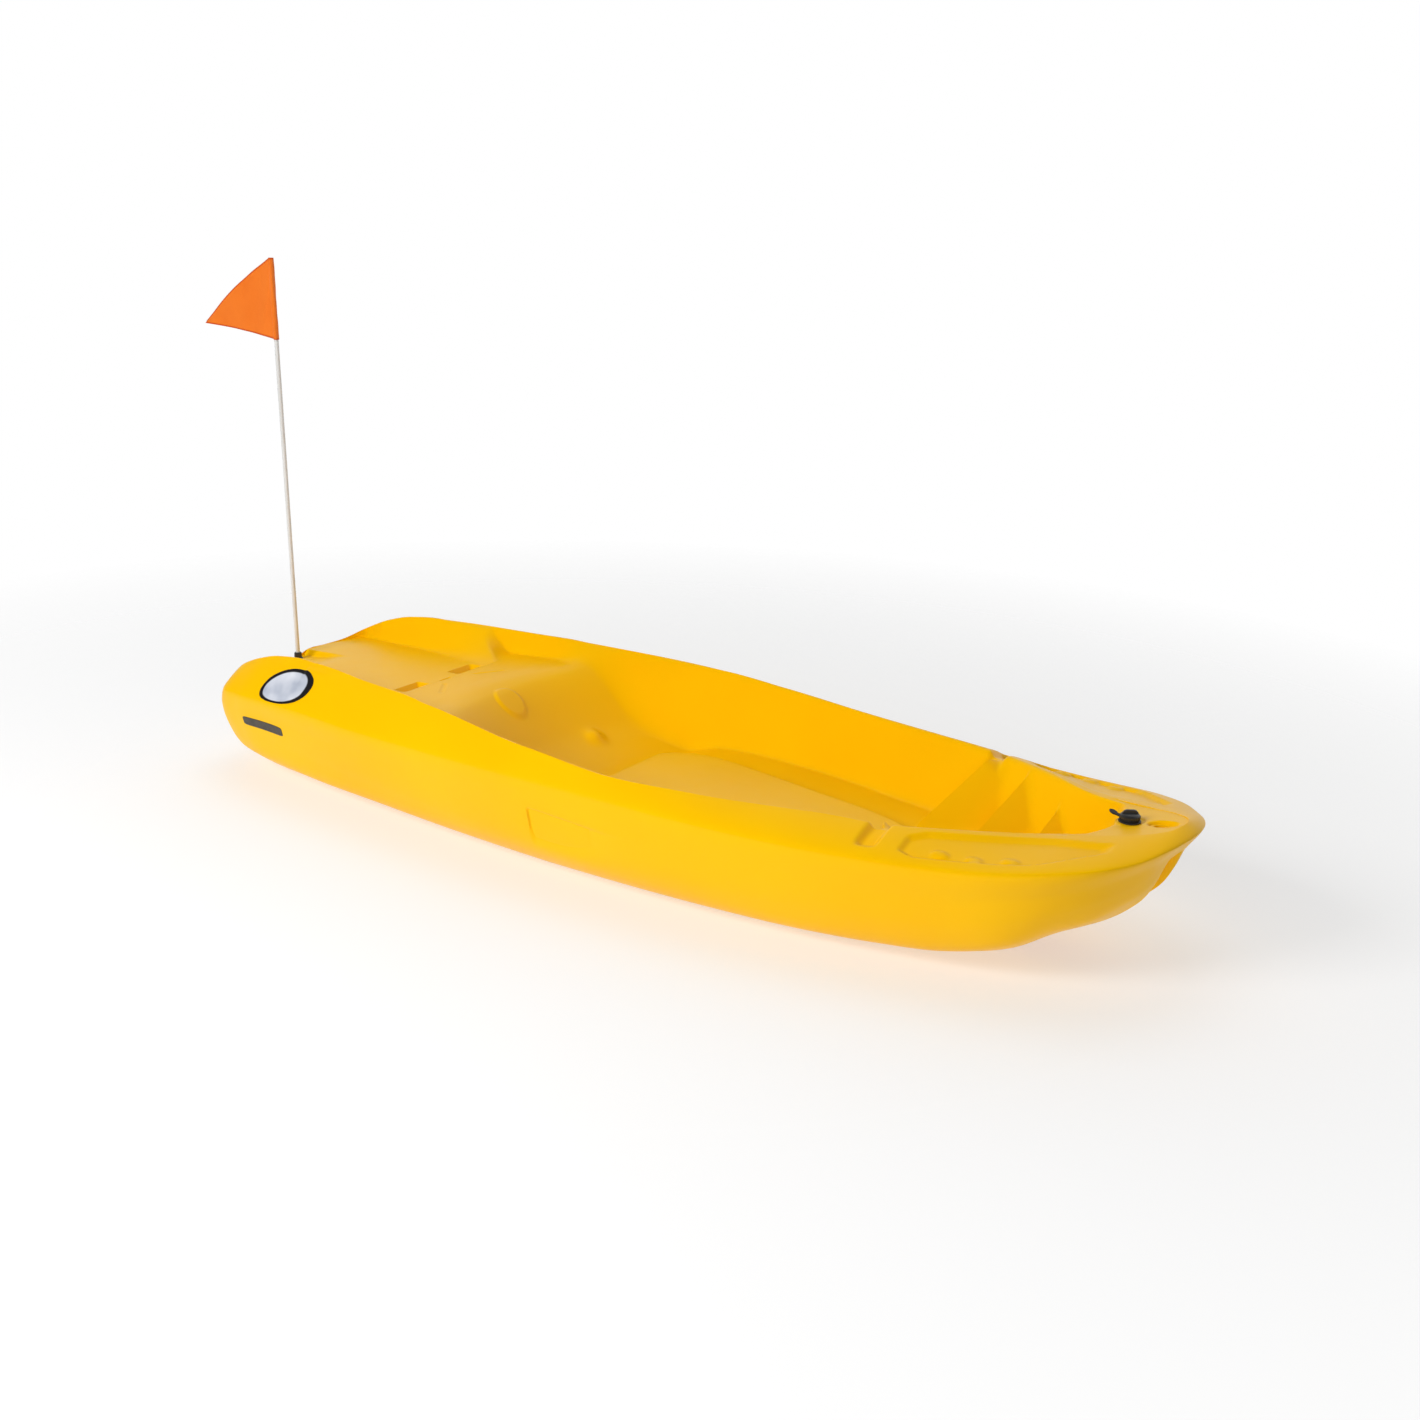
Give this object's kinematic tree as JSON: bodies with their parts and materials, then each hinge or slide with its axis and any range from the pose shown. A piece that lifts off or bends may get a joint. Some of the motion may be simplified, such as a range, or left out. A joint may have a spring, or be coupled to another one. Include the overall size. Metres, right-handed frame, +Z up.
{
  "type": "youth sit-on-top kayak",
  "caption": "Small open kayak moulded as a deck and a tunnel hull, with a drain plug and a safety pennant on a lift-out staff.",
  "frame": {"origin": "on the floor under the middle of the whole part's footprint, staff pennant included", "axes": "+X along the keel to the bow, +Y to port, +Z up with the keels on the floor"},
  "size_m": [1.9972, 0.622, 0.9213],
  "materials": {
    "deck_plastic": "satin",
    "hull_plastic": "satin",
    "foam": "matte",
    "fitting_plastic": "matte",
    "gasket_rubber": "matte",
    "plug_plastic": "satin",
    "socket_plastic": "matte",
    "staff_rod": "gloss",
    "pennant_cloth": "matte",
    "badge_film": "gloss",
    "strip_film": "matte"
  },
  "bodies": {
    "hull": {"deck": "deck_plastic", "hull": "hull_plastic", "flotation_block_stern": "foam", "flotation_block_port": "foam", "flotation_block_starboard": "foam", "drain_bushing": "fitting_plastic", "staff_socket": "socket_plastic", "side_badge_port": "badge_film", "side_badge_starboard": "badge_film", "id_strip": "strip_film"},
    "retainer": {"plug_retainer": "plug_plastic"},
    "plug": {"drain_plug": "plug_plastic", "drain_gasket": "gasket_rubber"},
    "staff": {"staff": "staff_rod"},
    "pennant": {"pennant": "pennant_cloth"}
  },
  "joints": [
    {"name": "plug_turn", "type": "hinge", "parent": "retainer", "child": "plug", "pos_m": [0.89262, 0, 0.2336], "axis": [0, 0, 1], "range_deg": [0, 720]},
    {"name": "plug_lift", "type": "slide", "parent": "hull", "child": "retainer", "axis": [0, 0, 1], "range_m": [0, 0.0081]},
    {"name": "staff_pull", "type": "slide", "parent": "hull", "child": "staff", "axis": [-0.0562, 0, 0.9984], "range_m": [0, 0.05]},
    {"name": "pennant_swing", "type": "hinge", "parent": "staff", "child": "pennant", "pos_m": [-0.78538, 0, 0.1712], "axis": [-0.0562, 0, 0.9984], "continuous": true}
  ],
  "couplings": [
    {"joint": "plug_lift", "follows": "plug_turn", "m_per_rad": 0.00063662}
  ]
}
